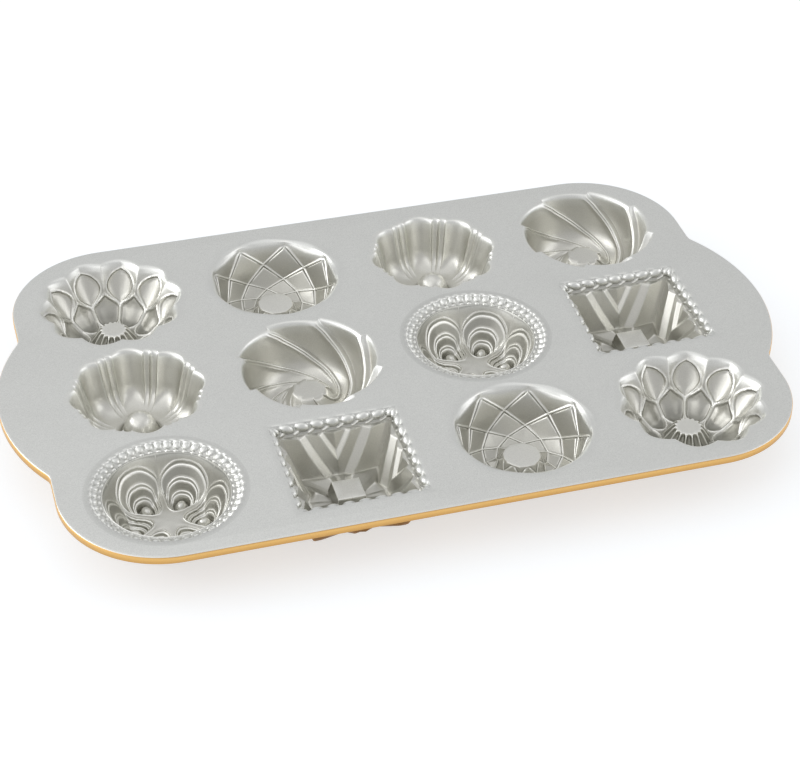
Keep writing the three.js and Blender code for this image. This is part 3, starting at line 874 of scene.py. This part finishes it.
def square_sector():
    """One side of a square cup: a beaded band, mitred pleats that meet in chevrons, and a block."""
    rim_half, top_half, foot_half = 31.7, 28.7, 20.2
    floor_half, block_half, block_depth = 8.4, 6.7, 19.7
    wall_top, wall_foot = 5.8, 26.6
    drop = top_half - foot_half
    run = 12.4  # how far the pleats run in towards the side's middle by the wall's foot
    marks = np.array([0, 5.7, 7.9, 14.4, 18.3, 26.6, top_half])
    inward = np.array([1.7, 0.3, 2.1, 0.2, 2.7, 0.1, 0.0])
    positive = divided(marks, (11, 5, 13, 8, 17, 5))
    across = np.concatenate([-positive[:0:-1], positive])
    reach, sign = np.abs(across), np.sign(across)
    count = len(across)

    def level(half, depth, stand=0, fall=0):
        """A row of the wall: how far in its pleats stand, and how far they have run, are given last."""
        share = np.maximum(reach - fall, 0) / (top_half - fall)
        inner = half - np.interp(np.maximum(reach, fall), marks, inward) * stand
        return np.stack([inner, sign * np.minimum(share * half, inner), np.full(count, -depth)], 1)

    rows = [level(rim_half + LIP, 0), level(rim_half + 1.0, 0), level(rim_half + 0.5, 0.1)]
    band, band_width, strokes = len(rows), 5.7, []
    for k in range(27):
        share = k / 26
        half, depth, path = 31.9 - 2.9 * share, 0.35 + 4.9 * share, band_width * share
        row = level(half, depth)
        along = across / top_half * half
        pitch = half / 4
        pearl = (along / pitch + 0.5) % 1 - 0.5
        bulge = 1.8 * knob(pearl * pitch, 3.4, path - 2.2, 2.5)
        rope = (along / pitch % 1 - 0.5) * pitch
        below = path - 4.8
        stroke, beside = 0.88 * rope + 0.47 * below, 0.88 * below - 0.47 * rope
        strokes.append(knob(stroke, 2.1, beside, 0.6))
        bulge = bulge + 0.9 * strokes[-1]
        row[:, 0] -= bulge * 0.86
        # Beads near a mitre are squeezed so that they end on it.
        near_mitre = np.clip((reach / top_half - 0.85) / 0.15, 0, 1)
        row[:, 1] = along * (1 - (1 - row[-1, 0] / half) * near_mitre)
        row[:, 2] = np.minimum(row[:, 2] + bulge * 0.5, 0)
        rows.append(row)
    rows += [level(top_half, 5.6), level(top_half, wall_top, 0.02), level(top_half, wall_top + 0.15, 1)]
    wall = len(rows)
    for share in np.linspace(0, 1, 34)[1:]:
        depth = wall_top + (wall_foot - wall_top) * share
        rows.append(level(top_half - drop * share, depth, 1 - 0.1 * share, run * share))

    # From the foot inwards the rows are square, with their corners on the mitres.
    floor_corner = np.clip(reach - run, 0, None) / (top_half - run)

    def square_row(half, depth):
        sideways = sign * floor_corner * half
        return np.stack([np.broadcast_to(half, (count,)), sideways, np.full(count, -depth)], 1)

    foot, base = rows[-1], square_row(floor_half, wall_foot)
    crest = np.interp(np.maximum(reach, run), marks, inward)
    floor = len(rows)
    for share in np.linspace(0, 1, 16)[1:]:
        row = foot + (base - foot) * share
        row[:, 2] += crest * min(share / 0.3, (1 - share) / 0.7)
        rows.append(row)
    block_sides = len(rows)
    for share in np.linspace(0, 1, 12)[1:]:
        half = floor_half + (block_half + 0.25 - floor_half) * share
        rows.append(square_row(half, wall_foot - (wall_foot - block_depth - 0.2) * share))
    block_top = len(rows)
    rows.append(square_row(block_half, block_depth + 0.05))
    rows += [square_row(half, block_depth) for half in (block_half - 0.3, 3.0, 0.3)]
    inside = np.stack(rows)

    outer = [
        level(31.65 + LIP, DECK_THICKNESS),
        level(33.6, DECK_THICKNESS),
        level(32.9, DECK_THICKNESS + 0.5),
    ]
    for share in np.linspace(0, 1, 14):
        outer.append(level(32.4 - 9.0 * share, 5.2 + 22.6 * share, smooth(share, 0, 0.15), run * share))
    under = ((22.2, 29.3, 1.05), (21.0, FOOT_DEPTH, 1.0), (11.5, FOOT_DEPTH, 0), (9.5, 29.0, 0),
             (6.2, 23.2, 0), (4.9, 22.7, 0), (0.3, 22.7, 0))
    outer += [square_row(half - crest * stand, depth) for half, depth, stand in under]

    # Painted shading: painted highlights on the rope strokes, on one pleat, along the floor's outer edge
    # and on the block's top; painted shade low in the bead band, over the floor and on the block's
    # sides. The wall is lightened a little.
    bright_pleat = (across > 7.9) & (across < 14.4)
    band_paths = np.linspace(0, band_width, len(strokes))[:, None]
    painted_shading = np.zeros(inside.shape[:2])
    painted_shading[band : band + len(strokes)] = 1.4 * np.array(strokes) - 0.2 - 0.2 * smooth(band_paths, 3.2, 4.2)
    painted_shading[wall:floor] = 0.11 + 0.60 * bright_pleat
    painted_shading[floor:block_sides] = -0.42
    painted_shading[floor] = 0.5
    painted_shading[block_sides:block_top] = -0.6
    painted_shading[block_top:] = 0.35
    return sheet_sector(inside, np.stack(outer), painted_shading)


# ---- spinning a sector into a cup
def spin_tree(metal, gold):
    """Geometry Nodes that repeat one sector round a cup's middle and set its two finishes."""
    tree = bpy.data.node_groups.new("spin_cup", "GeometryNodeTree")
    face = tree.interface
    face.new_socket("Sector", in_out="INPUT", socket_type="NodeSocketGeometry")
    sizes = {}
    for name, kind in (("Sectors", "Int"), ("Cup X", "Float"), ("Cup Y", "Float")):
        kind = "NodeSocket" + kind
        sizes[name] = face.new_socket(name, in_out="INPUT", socket_type=kind).identifier
    face.new_socket("Cup", in_out="OUTPUT", socket_type="NodeSocketGeometry")
    node, link = tree.nodes.new, tree.links.new
    start, end = node("NodeGroupInput"), node("NodeGroupOutput")
    places = node("GeometryNodeMeshLine")
    set_inputs(places, {"Offset": (0, 0, 0)})
    link(start.outputs["Sectors"], places.inputs["Count"])
    step = node("ShaderNodeMath")
    step.operation = "DIVIDE"
    step.inputs[0].default_value = math.tau
    link(start.outputs["Sectors"], step.inputs[1])
    turn = node("ShaderNodeMath")
    turn.operation = "MULTIPLY"
    link(node("GeometryNodeInputIndex").outputs[0], turn.inputs[0])
    link(step.outputs[0], turn.inputs[1])
    axis = node("ShaderNodeCombineXYZ")
    link(turn.outputs[0], axis.inputs["Z"])
    spin = node("GeometryNodeInstanceOnPoints")
    link(places.outputs["Mesh"], spin.inputs["Points"])
    link(start.outputs["Sector"], spin.inputs["Instance"])
    link(axis.outputs[0], spin.inputs["Rotation"])
    centre = node("ShaderNodeCombineXYZ")
    link(start.outputs["Cup X"], centre.inputs["X"])
    link(start.outputs["Cup Y"], centre.inputs["Y"])
    flag = node("GeometryNodeInputNamedAttribute")
    flag.data_type = "BOOLEAN"
    set_inputs(flag, {"Name": "outside"})
    realize = node("GeometryNodeRealizeInstances")
    weld = node("GeometryNodeMergeByDistance")
    set_inputs(weld, {"Distance": 0.002 * MM})
    place = node("GeometryNodeTransform")
    link(centre.outputs[0], place.inputs["Translation"])
    even = node("GeometryNodeSetShadeSmooth")
    silver, golden = node("GeometryNodeSetMaterial"), node("GeometryNodeSetMaterial")
    set_inputs(silver, {"Material": metal})
    set_inputs(golden, {"Material": gold})
    link(flag.outputs["Attribute"], golden.inputs["Selection"])
    chain = (spin, realize, weld, place, even, silver, golden)
    for before, after in zip(chain, chain[1:]):
        link(before.outputs[0], after.inputs["Geometry"])
    link(golden.outputs[0], end.inputs[0])
    return tree, sizes


def spun_cup(name, sector_mesh, sectors, centre, tree, sizes):
    """The finished plain mesh of one cup, in its place under the deck."""
    piece = added(name, sector_mesh)
    spin = piece.modifiers.new("spin", "NODES")
    spin.node_group = tree
    for label, value in (("Sectors", sectors), ("Cup X", centre[0] * MM), ("Cup Y", centre[1] * MM)):
        spin[sizes[label]] = value
    whole = bpy.data.meshes.new_from_object(piece.evaluated_get(bpy.context.evaluated_depsgraph_get()))
    piece.modifiers.clear()
    piece.data = whole
    whole.set_sharp_from_angle(angle=SHARP_ANGLE)
    return piece


# ---- the deck
def deck_outline(inset):
    """The deck's edge: a rounded rectangle with a shallow lobe for a grip at each end."""
    half_width, half_length, corner_radius = 124.5, 183.6, 51.8
    corner_x, corner_y = half_length - corner_radius, half_width - corner_radius
    lobe_reach, lobe_half, root = 17.0, 54.3, 8.0
    lobe_radius = (lobe_half**2 + lobe_reach**2) / (2 * lobe_reach)
    lobe_x = half_length + lobe_reach - lobe_radius
    root_x = half_length + root
    root_y = math.sqrt((lobe_radius + root) ** 2 - (root_x - lobe_x) ** 2)
    root_turn = math.atan2(root_y, root_x - lobe_x)

    def arc(x, y, radius, start, stop, steps):
        turn = np.linspace(start, stop, steps + 1)
        return np.stack([x + radius * np.cos(turn), y + radius * np.sin(turn)], 1)

    quarter = np.concatenate([
        arc(lobe_x, 0, lobe_radius - inset, 0, root_turn, 40),
        arc(root_x, root_y, root + inset, math.pi + root_turn, math.pi, 16)[1:],
        arc(corner_x, corner_y, corner_radius - inset, 0, math.pi / 2, 48),
    ])
    back = np.concatenate([quarter, quarter[::-1] * (-1, 1)])
    return np.concatenate([back, back[-2:0:-1] * (1, -1)])


def add_deck(holes, metal, gold):
    """A flat plate with a rounded edge and a hole for each cup, silver on top and gold elsewhere."""
    loops = [(deck_outline(inset), -depth) for inset, depth in DECK_EDGE]
    points, faces, golden = [], [], []

    def add_loop(loop, height):
        first = len(points)
        points.extend((x * MM, y * MM, (DECK_TOP + height) * MM) for x, y in loop)
        return first

    starts = [add_loop(loop, height) for loop, height in loops]
    size = len(loops[0][0])
    for k, (upper, lower) in enumerate(zip(starts, starts[1:])):
        for j in range(size):
            after = (j + 1) % size
            faces.append((upper + j, lower + j, lower + after, upper + after))
            golden.append(k >= GOLD_FROM_LOOP)
    tops = [add_loop(hole, 0) for hole in holes]
    feet = [add_loop(hole, -DECK_THICKNESS) for hole in holes]
    for hole, top, foot in zip(holes, tops, feet):
        for j in range(len(hole)):
            after = (j + 1) % len(hole)
            faces.append((top + j, top + after, foot + after, foot + j))
            golden.append(True)
    for outer, ring_starts, up in ((starts[0], tops, True), (starts[-1], feet, False)):
        rings = [range(outer, outer + size)] + [range(s, s + len(h)) for s, h in zip(ring_starts, holes)]
        order = [index for ring in rings for index in ring]
        flat = [[Vector((*points[i][:2], 0)) for i in ring] for ring in rings]
        for face in geometry.tessellate_polygon(flat):
            a, b, c = (order[i] for i in face)
            (ax, ay), (bx, by), (cx, cy) = (points[i][:2] for i in (a, b, c))
            area = (bx - ax) * (cy - ay) - (cx - ax) * (by - ay)
            faces.append((a, b, c) if (area > 0) == up else (a, c, b))
            golden.append(not up)
    mesh = bpy.data.meshes.new("deck_plate")
    mesh.from_pydata(points, [], faces)
    mesh.materials.append(metal)
    mesh.materials.append(gold)
    mesh.polygons.foreach_set("material_index", [int(g) for g in golden])
    mesh.polygons.foreach_set("use_smooth", [len(face) == 4 for face in faces])
    mesh.set_sharp_from_angle(angle=SHARP_ANGLE)
    return added("deck_plate", mesh)


# ---- the whole pan
DESIGNS = {
    "petal": (petal_sector, 5),
    "lattice": (lattice_sector, 8),
    "flute": (flute_sector, 8),
    "swirl": (swirl_sector, 8),
    "arch": (arch_sector, 6),
    "square": (square_sector, 4),
}


def main():
    add_camera()
    add_studio()
    # The deep colours are painted shade deep in the cups and under the deck; the highlight colours are
    # painted highlights on crests.
    silver, deep_shade_silver, highlight_silver = (0.84, 0.85, 0.83), (0.65, 0.643, 0.597), (0.975, 0.975, 0.936)
    gold, deep_shade_gold, highlight_gold = (0.83, 0.51, 0.185), (0.34, 0.16, 0.03), (0.6, 0.36, 0.14)
    deck_coat = coat("deck_silver_coat", silver, silver, highlight_silver, 0.40, grain=0.3, blotch=0.09)
    cup_coat = coat("cup_silver_coat", silver, deep_shade_silver, highlight_silver, 0.33, grain=0.25, blotch=0.07)
    gold_coat = coat("gold_coat", gold, deep_shade_gold, highlight_gold, 0.38, grain=0.2, blotch=0.05)
    tree, sizes = spin_tree(cup_coat, gold_coat)
    sectors, outlines = {}, {}
    for design, (build, count) in DESIGNS.items():
        sector = build()
        sectors[design] = sector.mesh(design + "_sector")
        turned = []
        for k in range(count):
            turn = math.tau * k / count
            c, s = math.cos(turn), math.sin(turn)
            turned.append(sector.edge[:-1] @ np.array([[c, s], [-s, c]]))
        outlines[design] = np.concatenate(turned)
    holes = []
    for row, (row_name, designs) in enumerate(LAYOUT):
        for column, design in enumerate(designs):
            centre = ((column - 1.5) * COLUMN_PITCH, (1 - row) * ROW_PITCH)
            name = f"{design}_cup_{row_name}_{column + 1}"
            piece = spun_cup(name + "_cast", sectors[design], DESIGNS[design][1], centre, tree, sizes)
            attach(piece, "root")
            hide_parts(name)
            holes.append(outlines[design] + centre)
    deck = add_deck(holes, deck_coat, gold_coat)
    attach(deck, "root")
    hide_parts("deck")


main()
